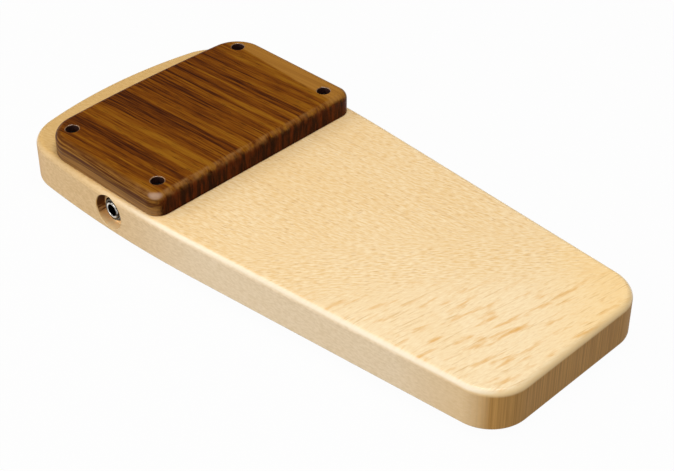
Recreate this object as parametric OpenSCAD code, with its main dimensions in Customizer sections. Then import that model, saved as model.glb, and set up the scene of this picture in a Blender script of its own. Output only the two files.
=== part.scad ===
// Wooden foot stomp box: a tapered board with a screwed-down strike plate at its wide end,
// a piezo disc under the plate and an open-frame quarter-inch jack in the left long side.
// Millimetres. The origin is on the standing surface, under the middle of the board.
// +Y runs to the plate end, +X to the player's right and +Z up.

/* [Board] */
// Length from the front end to the crown of the arched back end
body_length = 323; // [300:1:350]
// Width across the front end, measured to its square corners
front_width = 109; // [98:1:118]
// Width at the widest place
back_width = 146.5; // [142:0.5:156]
// Distance of the widest place from the back end
wide_setback = 80.5; // [70:0.5:95]
// Thickness of the board
body_thickness = 22.5; // [21:0.5:28]
// Radius of the front corners, seen from above
front_corner_r = 21; // [10:1:30]
// Radius of the back corners, seen from above
back_corner_r = 26.5; // [18:0.5:36]
// Radius of the bow in each long side
side_bow_r = 695; // [500:5:1000]
// Radius of the arched back end
back_arch_r = 252; // [200:2:350]
// Round-over of the top edge
top_round = 3.5; // [1:0.5:5]
// Easing of the bottom edge
bottom_round = 1; // [0.5:0.25:2]

/* [Strike plate] */
// Width of the plate
plate_width = 140; // [134:0.5:142]
// Depth of the plate along its middle
plate_depth = 92.5; // [86:0.5:98]
// Thickness of the plate
plate_thickness = 13; // [11:0.5:16]
// Distance of the plate's back edge from the back end of the board
plate_setback = 25; // [20:0.5:30]
// Radius of the plate's front corners
plate_front_r = 8; // [4:0.5:14]
// Radius of the plate's back corners
plate_back_r = 18; // [8:0.5:24]
// Radius of the plate's bowed back edge
plate_arch_r = 1000; // [600:20:2000]
// Round-over of the plate's top edge
plate_round = 4.5; // [2:0.25:5]
// Easing of the plate's bottom edge
plate_ease = 0.5; // [0.25:0.25:1]
// Distance of each screw from the two edges next to it
screw_inset = 11.25; // [10:0.25:14]

/* [Plate screws] */
// Diameter of the counterbore over each screw head
counterbore_d = 7; // [6.8:0.1:8]
// Depth of the counterbore
counterbore_depth = 5.2; // [4:0.1:6]
// Chamfer at the mouth of the counterbore
mouth_chamfer = 0.6; // [0.3:0.1:1]
// Diameter of the screw head
plate_head_d = 6.5; // [6:0.1:6.6]
// Height of the screw head
plate_head_h = 2.6; // [2:0.1:3]
// Diameter of the screw shank
plate_shank_d = 3.5; // [3:0.1:4]
// Length of the screw under its head
plate_screw_length = 20; // [16:0.5:22]

/* [Feet] */
// Height of each rubber foot
foot_height = 4; // [3.5:0.25:6]
// Diameter of each foot where it meets the board
foot_d = 14; // [13:0.5:18]
// Draw-in of the foot's radius towards the floor
foot_draw = 0.6; // [0.2:0.1:1]
// Diameter of the recess for the foot's screw and washer
foot_recess_d = 8; // [7.6:0.1:9]
// Depth of that recess
foot_recess_depth = 2.4; // [2.2:0.1:2.7]
// Distance of the front feet from the front end
foot_front_inset = 27; // [22:1:40]
// Distance of the front feet from the middle line
foot_front_x = 38; // [30:1:42]
// Distance of the back feet from the back end
foot_back_inset = 24; // [20:1:28]
// Distance of the back feet from the middle line
foot_back_x = 42; // [34:1:44]
// Diameter of the foot screw's head
foot_head_d = 5.6; // [5:0.1:6]
// Height of the foot screw's head
foot_head_h = 1.5; // [1.2:0.1:1.6]
// Diameter of the foot screw's shank
foot_shank_d = 3; // [2.5:0.1:3.2]
// Length of the foot screw under its head
foot_screw_length = 10; // [8:0.5:11]
// Diameter of the washer in each foot
foot_washer_d = 7.2; // [6.8:0.1:7.4]
// Thickness of that washer
foot_washer_t = 0.6; // [0.4:0.1:0.6]

/* [Jack] */
// Distance of the jack from the back end
jack_setback = 82.5; // [79:0.5:87]
// Height of the jack's axis over the underside of the board
jack_height = 11.5; // [11:0.25:12]
// Diameter of the finger recess round the jack
recess_d = 19.2; // [17:0.1:19.6]
// Depth of the finger recess
recess_depth = 5.7; // [4.5:0.1:6.5]
// Wood left between the recess and the jack chamber
web_t = 4; // [3:0.25:5]
// Bore of the jack, for a quarter-inch plug
jack_bore_d = 6.5; // [6.4:0.05:6.6]
// Outer diameter of the jack's bushing
bushing_d = 9.4; // [9:0.1:9.6]
// How far the bushing stands out of the nut
bushing_proud = 0.8; // [0.2:0.1:1]
// Diameter of the bushing's neck in the frame
neck_d = 8; // [7.6:0.1:8.4]
// Diameter of the lip that clenches the neck behind the frame
lip_d = 9; // [8.8:0.1:9.2]
// Thickness of that lip
lip_t = 0.6; // [0.4:0.1:0.8]
// Width of the hex nut across its flats
nut_flats = 12; // [11.5:0.1:12.5]
// Thickness of the hex nut
nut_t = 2; // [1.6:0.1:2.4]
// Outer diameter of the washer under the nut
washer_d = 14; // [13:0.1:15]
// Thickness of the washer under the nut
washer_t = 0.6; // [0.4:0.1:0.8]
// Sheet thickness of the jack's frame
frame_t = 1; // [0.8:0.1:1.2]
// Diameter of the frame's round face
frame_face_d = 13; // [12:0.1:13.5]
// Distance of the frame's leg from the jack's axis, to its outer face
leg_offset = 10; // [9.6:0.1:10.4]
// Height of the frame's leg
leg_width = 10; // [9.6:0.1:11]
// Length of the frame's leg
leg_length = 8; // [7.8:0.1:9]
// Inner radius of the frame's bend
bend_r = 0.8; // [0.5:0.1:1]

/* [Contact stack] */
// Length of the insulating wafers
wafer_length = 6; // [5.6:0.1:6.4]
// Height of the insulating wafers
wafer_width = 10; // [9:0.1:10.4]
// Thickness of each insulating wafer
wafer_t = 0.8; // [0.6:0.1:0.9]
// Thickness of the contact spring and the two lugs
contact_t = 0.5; // [0.4:0.05:0.6]
// Height of the part of a lug that the stack holds
lug_width = 8; // [7.4:0.1:8.6]
// Width of a lug's tail
tail_width = 3; // [2.8:0.1:3.6]
// Height of a lug's tail over the jack's axis
tail_height = 9.4; // [9.2:0.1:9.6]
// Diameter of the rivets
rivet_d = 2; // [1.6:0.1:2.2]
// Diameter of the rivet heads
rivet_head_d = 3.4; // [3:0.1:3.8]
// Thickness of the rivet heads
rivet_head_t = 0.5; // [0.4:0.1:0.6]
// Distance between the two rivets
rivet_pitch = 4.6; // [4.4:0.1:5]
// Diameter of the holes that keep the live lug off the rivets
live_hole_d = 3; // [2.6:0.1:3.2]
// Height of the contact spring
leaf_width = 6; // [5:0.1:7]
// Length of the spring's straight part
leaf_straight = 7; // [6:0.1:8]
// Distance of the spring's crook behind the stack
crook_reach = 11.5; // [11:0.1:12]
// Distance of the spring's crook from the jack's axis at rest
crook_gap = 2.2; // [2:0.05:2.4]
// Length of the spring's turned-up end
crook_end = 2.5; // [2:0.1:3]
// Rise of the spring's turned-up end
crook_rise = 2.8; // [2:0.1:3]

/* [Pickup] */
// Diameter of the pocket under the plate
pocket_d = 30; // [28.5:0.5:32]
// Depth of the pocket
pocket_depth = 8; // [6:0.25:10]
// Diameter of the brass disc
disc_d = 27; // [26.6:0.1:27.4]
// Thickness of the brass disc
disc_t = 0.3; // [0.2:0.05:0.4]
// Diameter of the ceramic layer
ceramic_d = 20; // [19.8:0.1:20.4]
// Thickness of the ceramic layer
ceramic_t = 0.25; // [0.2:0.05:0.35]
// Thickness of the adhesive disc
tape_t = 0.5; // [0.3:0.05:0.8]
// Diameter of the foam backing pad
foam_d = 12; // [9:0.5:13]
// Length of the jack chamber
chamber_length = 30; // [28:0.5:31.5]
// Room between the frame's round face and the start of the chamber's rounded corner
chamber_side_gap = 0.5; // [0.25:0.25:2]
// Room in the chamber on the jack's contact side
chamber_back = 14; // [13.5:0.25:15]
// Corner radius that the cutter leaves in the chamber
cutter_r = 4; // [3:0.25:6]
// Room under the jack in the chamber
chamber_under = 1; // [0.5:0.25:2]
// Width of the wiring channel
channel_width = 8; // [7.5:0.25:9]
// Depth of the wiring channel
channel_depth = 5; // [4.75:0.25:8]
// Diameter of the leads
lead_d = 1.2; // [1:0.1:1.4]
// Radius of the solder joints
solder_r = 1.5; // [1.3:0.05:1.5]

/* [Clearances] */
// Radial room round a thread in its pilot hole
thread_gap = 0.05; // [0.02:0.01:0.1]
// Radial room round a shank or a bushing in its hole
shank_gap = 0.2; // [0.1:0.05:0.3]
// Room between the contact spring's root and the stack
root_gap = 0.15; // [0.1:0.05:0.3]

/* [Hidden] */
$fn = 64;

// Steps in each rounded stretch of an outline and in each rounded edge
arc_steps = 10;
edge_steps = 5;
// Overshoot of a cutter past the face that it opens
over = 1;

// Heights
board_z = foot_height;
deck_z = board_z + body_thickness;
plate_top_z = deck_z + plate_thickness;

// Ends of the board
front_y = -body_length / 2;
back_y = body_length / 2;

// Board outline: centres of its arcs and the directions where they meet, on the right side
bow_c = [back_width / 2 - side_bow_r, back_y - wide_setback];
arch_c = [0, back_y - back_arch_r];
front_corner = [front_width / 2, front_y];
corner_ray = front_corner - bow_c;
taper_dir = atan2(corner_ray.y, corner_ray.x) + acos(side_bow_r / norm(corner_ray));
front_c = front_corner
    + front_corner_r * [-(1 + sin(taper_dir)) / cos(taper_dir), 1];
back_c = circle_meet(bow_c, side_bow_r - back_corner_r, arch_c, back_arch_r - back_corner_r);
bow_dir = direction(back_c - bow_c);
arch_dir = direction(back_c - arch_c);

// Plate outline
plate_back_y = back_y - plate_setback;
plate_front_y = plate_back_y - plate_depth;
plate_arch_c = [0, plate_back_y - plate_arch_r];
plate_back_c = [plate_width / 2 - plate_back_r,
    plate_arch_c.y + sqrt(pow(plate_arch_r - plate_back_r, 2) - pow(plate_width / 2 - plate_back_r, 2))];
plate_arch_dir = direction(plate_back_c - plate_arch_c);
plate_side_y = plate_arch_c.y + sqrt(pow(plate_arch_r, 2) - pow(plate_width / 2, 2));

// Screw and foot places
screw_x = plate_width / 2 - screw_inset;
screw_ys = [plate_front_y + screw_inset, plate_side_y - screw_inset];
screw_spots = [for (x = [-screw_x, screw_x]) for (y = screw_ys) [x, y]];
screw_seat_z = plate_top_z - counterbore_depth;
foot_spots = [for (side = [-1, 1]) for (spot = [[foot_front_x, front_y + foot_front_inset],
    [foot_back_x, back_y - foot_back_inset]]) [side * spot.x, spot.y]];
foot_hold = foot_screw_length - foot_washer_t - (foot_height - foot_recess_depth);
screw_tip = 3;
drive_width = 0.9;
drive_depth = 1.3;

// Jack, in a frame on its axis at the chamber's outer wall, with +X into the board
jack_y = back_y - jack_setback;
jack_z = board_z + jack_height;
side_x = -(bow_c.x + sqrt(pow(side_bow_r, 2) - pow(jack_y - bow_c.y, 2)));
wall_x = side_x + recess_depth + web_t;
jack_at = [wall_x, jack_y, jack_z];
bushing_length = web_t + washer_t + nut_t + bushing_proud;
leg_in = leg_offset - frame_t;
stack_start = leg_length - wafer_length;
stack_mid = stack_start + wafer_length / 2;
live_y = leg_in - wafer_t - contact_t;
inner_wafer_y = live_y - wafer_t;
ground_y = leg_offset;
tail_eye_d = 1.2;
solder_z = tail_height - solder_r;
root_c = [leg_length + root_gap + contact_t / 2, live_y + contact_t / 2];

// Pickup
piezo_at = [0, (plate_front_y + plate_back_y) / 2];
disc_z = deck_z - tape_t - disc_t;
ceramic_z = disc_z - ceramic_t;
pocket_z = deck_z - pocket_depth;
chamber_z = jack_z - frame_face_d / 2 - chamber_under;
chamber_front = frame_face_d / 2 + cutter_r + chamber_side_gap;

// Leads run out of the flats on their solder joints, along X
lead_r = lead_d / 2;
lead_lift = solder_r / 2;
lead_out = solder_r / 2;
lead_straight = 2 * lead_d;
// Sag of the leads between their ends, at a third and at two thirds of the way
lead_sags = [[0, -0.6, -1.0], [0, 0.4, -0.8]];
lead_steps = 5;
lead_sides = 8;
hot_from = jack_at + [stack_mid, live_y, solder_z];
ground_from = jack_at + [stack_mid, ground_y + contact_t, solder_z];
hot_joint_r = ceramic_d / 2 - solder_r - 0.1;
ground_joint_r = (ceramic_d + disc_d) / 4;
hot_to = [piezo_at.x - chord(hot_joint_r, hot_from.y - lead_lift - piezo_at.y),
    hot_from.y - lead_lift, ceramic_z];
ground_to = [piezo_at.x - chord(ground_joint_r, ground_from.y + lead_lift - piezo_at.y),
    ground_from.y + lead_lift, disc_z];
channel_y = (hot_to.y + ground_to.y) / 2;

function direction(v) = atan2(v.y, v.x);
function chord(r, offset) = sqrt(max(r * r - offset * offset, 0));
// Points along an arc; one that carries on from another leaves out the point that they share
function arc(c, r, from, to, carries_on = false) =
    [for (i = [carries_on ? 1 : 0:arc_steps]) let (a = from + (to - from) * i / arc_steps)
        c + r * [cos(a), sin(a)]];
// The meeting point, on the upper right, of two circles
function circle_meet(c1, r1, c2, r2) =
    let (gap = norm(c2 - c1), along = (r1 * r1 - r2 * r2 + gap * gap) / (2 * gap),
        e = (c2 - c1) / gap, h = chord(r1, along),
        a = c1 + along * e + h * [-e.y, e.x], b = c1 + along * e - h * [-e.y, e.x])
    a.x + a.y > b.x + b.y ? a : b;
function with_mirror(half) = concat(half, [for (i = [len(half) - 2:-1:0]) [-half[i].x, half[i].y]]);
function board_outline(inset) = with_mirror(concat(
    arc(front_c, front_corner_r - inset, -90, taper_dir),
    arc(bow_c, side_bow_r - inset, taper_dir, bow_dir),
    arc(back_c, back_corner_r - inset, bow_dir, arch_dir, true),
    arc(arch_c, back_arch_r - inset, arch_dir, 90, true)));
function plate_outline(inset) = with_mirror(concat(
    arc([plate_width / 2 - plate_front_r, plate_front_y + plate_front_r], plate_front_r - inset, -90, 0),
    arc(plate_back_c, plate_back_r - inset, 0, plate_arch_dir),
    arc(plate_arch_c, plate_arch_r - inset, plate_arch_dir, 90, true)));

// A closed skin over a row of rings, each with as many points as the next
module skin(rings) {
    sides = len(rings[0]);
    last = len(rings) - 1;
    polyhedron(
        points = [for (one = rings) each one],
        faces = concat([[for (k = [0:sides - 1]) k]],
            [for (i = [0:last - 1]) for (k = [0:sides - 1])
                let (a = i * sides + k, b = i * sides + (k + 1) % sides)
                each [[a, a + sides, b], [b, a + sides, b + sides]]],
            [[for (k = [sides - 1:-1:0]) last * sides + k]]));
}

// A slab of a given outline with a rounded top edge and an eased bottom edge
module rounded_slab(outline, z0, z1, r0, r1) {
    turns = [for (step = [0:edge_steps]) 90 * step / edge_steps];
    levels = concat(
        [for (i = [edge_steps:-1:0]) [r0 * (1 - cos(turns[i])), z0 + r0 * (1 - sin(turns[i]))]],
        [for (a = turns) [r1 * (1 - cos(a)), z1 - r1 * (1 - sin(a))]]);
    skin([for (level = levels) [for (p = outline(level[0])) [p.x, p.y, level[1]]]]);
}

// A rectangle with round corners, from one corner to the opposite one
module routed(from, to, r) {
    translate(from + [r, 0]) square([to.x - from.x - 2 * r, to.y - from.y]);
    translate(from + [0, r]) square([to.x - from.x, to.y - from.y - 2 * r]);
    for (x = [from.x + r, to.x - r]) for (y = [from.y + r, to.y - r]) translate([x, y]) circle(r);
}

// A cylinder along X or Y from a point
module along_x(r, length) rotate([0, 90, 0]) cylinder(r = r, h = length);
module along_y(r, length) rotate([-90, 0, 0]) cylinder(r = r, h = length);

// A pan-head wood screw, head up, with its seat at z = 0 and a cross drive
module wood_screw(head_d, head_h, shank_d, length) {
    shoulder = head_h / 2;
    crown = 0.7;
    difference() {
        rotate_extrude() polygon([[0, head_h], [head_d / 2 * crown, head_h], [head_d / 2, shoulder],
            [head_d / 2, 0], [shank_d / 2, 0], [shank_d / 2, screw_tip - length], [0, -length]]);
        for (turn = [0, 90]) rotate(turn)
            translate([-head_d / 2 * crown, -drive_width / 2, head_h - drive_depth])
                cube([head_d * crown, drive_width, drive_depth + over]);
    }
}

module body() color("burlywood") {
    difference() {
        rounded_slab(function(inset) board_outline(inset), board_z, deck_z, bottom_round, top_round);
        // Jack recess and the bushing's hole in the web behind it
        translate([side_x - over, jack_y, jack_z]) along_x(recess_d / 2, over + recess_depth);
        translate([side_x, jack_y, jack_z]) along_x(bushing_d / 2 + shank_gap, recess_depth + web_t + over);
        // Jack chamber, wiring channel and pickup pocket, all under the plate
        translate([0, 0, chamber_z]) linear_extrude(deck_z - chamber_z + over)
            routed([wall_x, jack_y - chamber_front],
                [wall_x + chamber_length, jack_y + chamber_back], cutter_r);
        translate([wall_x + chamber_length - over, channel_y - channel_width / 2, deck_z - channel_depth])
            cube([piezo_at.x - wall_x - chamber_length + over, channel_width, channel_depth + over]);
        translate([piezo_at.x, piezo_at.y, pocket_z]) cylinder(d = pocket_d, h = pocket_depth + over);
        // Pilot holes
        for (spot = screw_spots) translate([spot.x, spot.y, screw_seat_z - plate_screw_length])
            cylinder(r = plate_shank_d / 2 + thread_gap, h = plate_screw_length + over);
        for (spot = foot_spots) translate([spot.x, spot.y, board_z - over])
            cylinder(r = foot_shank_d / 2 + thread_gap, h = foot_hold + over);
    }
}

module strike_plate() color("saddlebrown") difference() {
    rounded_slab(function(inset) plate_outline(inset), deck_z, plate_top_z, plate_ease, plate_round);
    for (spot = screw_spots) translate([spot.x, spot.y, 0]) {
        translate([0, 0, deck_z - over])
            cylinder(r = plate_shank_d / 2 + shank_gap, h = plate_thickness + over);
        translate([0, 0, screw_seat_z]) cylinder(d = counterbore_d, h = counterbore_depth + over);
        translate([0, 0, plate_top_z - mouth_chamfer])
            cylinder(r1 = counterbore_d / 2, r2 = counterbore_d / 2 + mouth_chamfer + over, h = mouth_chamfer + over);
    }
}

module plate_screws() color("dimgray") for (spot = screw_spots)
    translate([spot.x, spot.y, screw_seat_z])
        wood_screw(plate_head_d, plate_head_h, plate_shank_d, plate_screw_length);

// One foot: a drawn-in rubber puck with a recess for its washer and screw
module feet() color("black") for (spot = foot_spots) translate([spot.x, spot.y, 0]) difference() {
    rotate_extrude() polygon([[0, 0], [foot_d / 2 - 2 * foot_draw, 0], [foot_d / 2 - foot_draw, foot_draw],
        [foot_d / 2, foot_height], [0, foot_height]]);
    translate([0, 0, -over]) cylinder(d = foot_recess_d, h = foot_recess_depth + over);
    translate([0, 0, -over]) cylinder(r = foot_shank_d / 2 + shank_gap, h = foot_height + 2 * over);
}

module foot_washers() color("silver") for (spot = foot_spots)
    translate([spot.x, spot.y, foot_recess_depth - foot_washer_t]) difference() {
        cylinder(d = foot_washer_d, h = foot_washer_t);
        translate([0, 0, -over]) cylinder(r = foot_shank_d / 2 + shank_gap, h = foot_washer_t + 2 * over);
    }

module foot_screws() color("silver") for (spot = foot_spots)
    translate([spot.x, spot.y, foot_recess_depth - foot_washer_t]) mirror([0, 0, 1])
        wood_screw(foot_head_d, foot_head_h, foot_shank_d, foot_screw_length);

// The threaded bushing, with a neck through the frame and a clenched lip behind it
module jack_bushing() color("gainsboro") translate(jack_at) rotate([0, 90, 0]) difference() {
    union() {
        translate([0, 0, -bushing_length]) cylinder(d = bushing_d, h = bushing_length);
        cylinder(d = neck_d, h = frame_t);
        translate([0, 0, frame_t]) cylinder(d = lip_d, h = lip_t);
    }
    translate([0, 0, -bushing_length - over])
        cylinder(d = jack_bore_d, h = bushing_length + frame_t + lip_t + 2 * over);
}

// Hex nut with its outer corners turned down
module jack_nut() color("gainsboro") translate(jack_at - [web_t + washer_t, 0, 0]) rotate([0, -90, 0])
    difference() {
        corner_d = nut_flats / cos(30);
        turn_h = (corner_d - nut_flats) / 2;
        intersection() {
            cylinder(d = corner_d, h = nut_t, $fn = 6);
            union() {
                cylinder(d = corner_d + 2, h = nut_t - turn_h / 2);
                translate([0, 0, nut_t - turn_h / 2])
                    cylinder(d1 = corner_d, d2 = nut_flats, h = turn_h / 2);
            }
        }
        translate([0, 0, -over]) cylinder(r = bushing_d / 2 + thread_gap, h = nut_t + 2 * over);
    }

module jack_washer() color("silver") translate(jack_at - [web_t, 0, 0]) rotate([0, -90, 0]) difference() {
    cylinder(d = washer_d, h = washer_t);
    translate([0, 0, -over]) cylinder(r = bushing_d / 2 + shank_gap, h = washer_t + 2 * over);
}

// Round holes along Y for the two rivets of the stack
module rivet_holes(r, from, to) for (side = [-1, 1])
    translate([stack_mid, from, side * rivet_pitch / 2]) along_y(r, to - from);

// Bent sheet: a face with a round end on the bushing and a leg along the contacts
module jack_frame() color("silver") translate(jack_at) difference() {
    union() {
        along_x(frame_face_d / 2, frame_t);
        translate([0, 0, -leg_width / 2]) {
            cube([frame_t, leg_in - bend_r, leg_width]);
            translate([frame_t + bend_r, leg_in, 0]) cube([leg_length - frame_t - bend_r, frame_t, leg_width]);
            translate([frame_t + bend_r, leg_in - bend_r, 0]) intersection() {
                translate([-frame_t - bend_r, 0, 0]) cube([frame_t + bend_r, frame_t + bend_r, leg_width]);
                difference() {
                    cylinder(r = bend_r + frame_t, h = leg_width);
                    translate([0, 0, -over]) cylinder(r = bend_r, h = leg_width + 2 * over);
                }
            }
        }
    }
    translate([-over, 0, 0]) along_x(neck_d / 2 + thread_gap, frame_t + 2 * over);
    rivet_holes(rivet_d / 2 + thread_gap, leg_in - over, leg_offset + over);
}

// Two fibre wafers, one on each side of the live lug
module jack_insulators() color("peru") translate(jack_at) for (y = [inner_wafer_y, leg_in - wafer_t])
    difference() {
        translate([stack_start, y, -wafer_width / 2]) cube([wafer_length, wafer_t, wafer_width]);
        rivet_holes(rivet_d / 2 + thread_gap, y - over, y + wafer_t + over);
    }

module jack_rivets() color("goldenrod") translate(jack_at) for (side = [-1, 1])
    translate([stack_mid, 0, side * rivet_pitch / 2]) {
        translate([0, inner_wafer_y - rivet_head_t, 0]) along_y(rivet_head_d / 2, rivet_head_t);
        translate([0, inner_wafer_y, 0]) along_y(rivet_d / 2, ground_y + contact_t - inner_wafer_y);
        translate([0, ground_y + contact_t, 0]) along_y(rivet_head_d / 2, rivet_head_t);
    }

// A solder lug in the stack, with a tail that stands up over the jack
module lug(y, hole_r) translate(jack_at) difference() {
    union() {
        translate([stack_start, y, -lug_width / 2]) cube([wafer_length, contact_t, lug_width]);
        translate([stack_mid - tail_width / 2, y, 0])
            cube([tail_width, contact_t, tail_height - tail_width / 2]);
        translate([stack_mid, y, tail_height - tail_width / 2]) along_y(tail_width / 2, contact_t);
    }
    rivet_holes(hole_r, y - over, y + contact_t + over);
    translate([stack_mid, y - over, solder_z]) along_y(tail_eye_d / 2, contact_t + 2 * over);
}

module tip_lug() color("goldenrod") lug(live_y, live_hole_d / 2);

module ground_lug() color("goldenrod") lug(ground_y, rivet_d / 2 + thread_gap);

// A strip of the contact's thickness through plan points, round at each point
module strip(points) {
    for (p = points) translate(p) circle(contact_t / 2);
    for (i = [0:len(points) - 2]) translate(points[i]) rotate(direction(points[i + 1] - points[i]))
        translate([0, -contact_t / 2]) square([norm(points[i + 1] - points[i]), contact_t]);
}

// The spring that presses on the plug's tip, with its crook at rest
module tip_contact() color("gold") translate(jack_at - [0, 0, leaf_width / 2]) linear_extrude(leaf_width)
    strip([root_c, root_c + [leaf_straight, 0], [leg_length + crook_reach, crook_gap],
        [leg_length + crook_reach + crook_end, crook_gap + crook_rise]]);

module piezo_tape() color("white") translate([piezo_at.x, piezo_at.y, deck_z - tape_t])
    cylinder(d = disc_d, h = tape_t);

module piezo_disc() color("gold") translate([piezo_at.x, piezo_at.y, disc_z])
    cylinder(d = disc_d, h = disc_t);

module piezo_ceramic() color("whitesmoke") translate([piezo_at.x, piezo_at.y, ceramic_z])
    cylinder(d = ceramic_d, h = ceramic_t);

module foam_pad() color("darkslategray") translate([piezo_at.x, piezo_at.y, pocket_z])
    cylinder(d = foam_d, h = ceramic_z - pocket_z);

// Points of a lead: out of each joint along X, with a little slack between
function lead_route(from, to) =
    let (a = from + [lead_out, 0, 0], b = to - [lead_out, 0, 0],
        a1 = a + [lead_straight, 0, 0], b1 = b - [lead_straight, 0, 0])
    [a, a1, for (i = [0, 1]) a1 + (b1 - a1) * (i + 1) / 3 + lead_sags[i], b1, b];
// A smooth curve through all points of a route
function smooth(p) = concat(
    [for (i = [0:len(p) - 2]) for (s = [0:lead_steps - 1])
        let (t = s / lead_steps, p0 = p[max(i - 1, 0)], p3 = p[min(i + 2, len(p) - 1)])
        (2 * p[i] + (p[i + 1] - p0) * t + (2 * p0 - 5 * p[i] + 4 * p[i + 1] - p3) * t * t
            + (3 * p[i] - p0 - 3 * p[i + 1] + p3) * t * t * t) / 2],
    [p[len(p) - 1]]);
function unit(v) = v / norm(v);
function ring(p, heading, r) =
    let (across = unit(cross(heading, [0, 0, 1])), up = cross(across, heading))
    [for (k = [0:lead_sides - 1]) let (a = 360 * k / lead_sides) p + r * (cos(a) * across - sin(a) * up)];
// A round tube along a path whose two ends face along X
module tube(path, r) {
    last = len(path) - 1;
    skin([for (i = [0:last])
        ring(path[i], i == 0 || i == last ? [1, 0, 0] : unit(path[i + 1] - path[i - 1]), r)]);
}

module hot_lead() color("firebrick")
    tube(smooth(lead_route(hot_from - [0, lead_lift, 0], hot_to - [0, 0, lead_lift])), lead_r);

module ground_lead() color("black")
    tube(smooth(lead_route(ground_from + [0, lead_lift, 0], ground_to - [0, 0, lead_lift])), lead_r);

// Half a ball of solder on a flat face, cut flat where its lead comes out.
// tilt turns it about X onto its face and turn about the face's normal towards its lead
module solder(at, tilt, turn) translate(at) rotate([tilt, 0, 0]) rotate(turn) intersection() {
    rotate(180) sphere(solder_r);
    translate([-solder_r - over, -solder_r - over, 0])
        cube([solder_r + over + lead_out, 2 * (solder_r + over), solder_r + over]);
}

module solder_joints() color("lightgray") {
    solder(hot_from, 90, 0);
    solder(ground_from, -90, 0);
    solder(hot_to, 180, 180);
    solder(ground_to, 180, 180);
}

body();
strike_plate();
plate_screws();
feet();
foot_washers();
foot_screws();
jack_bushing();
jack_nut();
jack_washer();
jack_frame();
jack_insulators();
jack_rivets();
tip_lug();
ground_lug();
tip_contact();
piezo_tape();
piezo_disc();
piezo_ceramic();
foam_pad();
hot_lead();
ground_lead();
solder_joints();
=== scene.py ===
import math

import bmesh
import bpy
from mathutils import Matrix, Quaternion, Vector


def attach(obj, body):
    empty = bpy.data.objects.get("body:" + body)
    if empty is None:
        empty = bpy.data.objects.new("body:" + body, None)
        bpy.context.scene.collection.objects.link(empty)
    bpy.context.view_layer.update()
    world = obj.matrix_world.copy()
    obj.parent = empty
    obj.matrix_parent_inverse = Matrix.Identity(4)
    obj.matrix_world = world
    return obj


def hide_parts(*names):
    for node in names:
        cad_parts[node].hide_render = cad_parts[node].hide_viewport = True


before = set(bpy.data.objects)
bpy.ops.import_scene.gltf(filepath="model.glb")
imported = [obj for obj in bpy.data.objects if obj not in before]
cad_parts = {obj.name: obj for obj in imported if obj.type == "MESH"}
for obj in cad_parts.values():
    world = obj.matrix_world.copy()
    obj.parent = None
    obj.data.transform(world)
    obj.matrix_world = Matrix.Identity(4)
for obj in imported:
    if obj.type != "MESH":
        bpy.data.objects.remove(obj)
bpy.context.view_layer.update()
mm = 0.001
print("frame:", len(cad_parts), "solids loaded")

# Camera at the photograph's angle, from the left front corner and above
cameraPlace = {"azimuth": -45.9, "elevation": 36.92, "distance": 803.3, "target": (4.5, -7.44, 4.0),
               "lens": 84.13, "sensor": 36, "nearest": 0.02}


def seenFrom(azimuth, elevation):
    a, e = math.radians(azimuth), math.radians(elevation)
    return Vector((math.sin(a) * math.cos(e), -math.cos(a) * math.cos(e), math.sin(e)))


def setUp(data, place, aim, roll=0):
    made = bpy.data.objects.new(data.name, data)
    made.location = place
    made.rotation_mode = "QUATERNION"
    rolled = Quaternion((0, 0, 1), math.radians(roll))
    made.rotation_quaternion = (aim - place).to_track_quat("-Z", "Y") @ rolled
    bpy.context.scene.collection.objects.link(made)
    return made


target = Vector(cameraPlace["target"]) * mm
lens = bpy.data.cameras.new("camera")
lens.lens = cameraPlace["lens"]
lens.sensor_width = cameraPlace["sensor"]
lens.clip_start = cameraPlace["nearest"]
fromCamera = seenFrom(cameraPlace["azimuth"], cameraPlace["elevation"]) * cameraPlace["distance"] * mm
bpy.context.scene.camera = setUp(lens, target + fromCamera, target)
print("camera set")


# An sRGB hex colour in linear light
def linear(hexText):
    parts = [int(hexText[i:i + 2], 16) / 255 for i in (1, 3, 5)]
    return [*(c / 12.92 if c <= 0.04045 else ((c + 0.055) / 1.055) ** 2.4 for c in parts), 1.0]


# Adds one node. Its inputs are given by name, or in order for the sockets in use; each is a value,
# a hex colour, a socket, or a node whose first output is meant. A ramp's first two stops are its ends
def put(tree, kind, inputs=(), stops=(), **settings):
    made = tree.nodes.new("ShaderNode" + kind)
    for name, value in settings.items():
        setattr(made, name, value)
    sockets = [s for s in made.inputs if s.enabled]
    if isinstance(inputs, dict):
        sockets = [next(s for s in sockets if s.name == name) for name in inputs]
        inputs = inputs.values()
    for socket, value in zip(sockets, inputs):
        if isinstance(value, bpy.types.Node):
            value = next(s for s in value.outputs if s.enabled)
        if isinstance(value, bpy.types.NodeSocket):
            tree.links.new(value, socket)
        else:
            socket.default_value = linear(value) if isinstance(value, str) else value
    for i, (at, colour) in enumerate(stops):
        stop = made.color_ramp.elements[i] if i < 2 else made.color_ramp.elements.new(at)
        stop.position, stop.color = at, linear(colour)
    return made


# Settings that many nodes share
smooth = {"interpolation_type": "SMOOTHSTEP"}
inColour = {"data_type": "RGBA"}


# A new material, its node tree, its shader, and the place on the piece in millimetres
def newFinish(name, **sockets):
    made = bpy.data.materials.new(name)
    made.use_nodes = True
    tree = made.node_tree
    shader = tree.nodes["Principled BSDF"]
    for key, value in sockets.items():
        shader.inputs[key.replace("_", " ")].default_value = value
    place = put(tree, "VectorMath", {"Vector": put(tree, "TexCoord").outputs["Object"], "Scale": 1 / mm},
                operation="SCALE")
    return made, tree, shader, place


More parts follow.
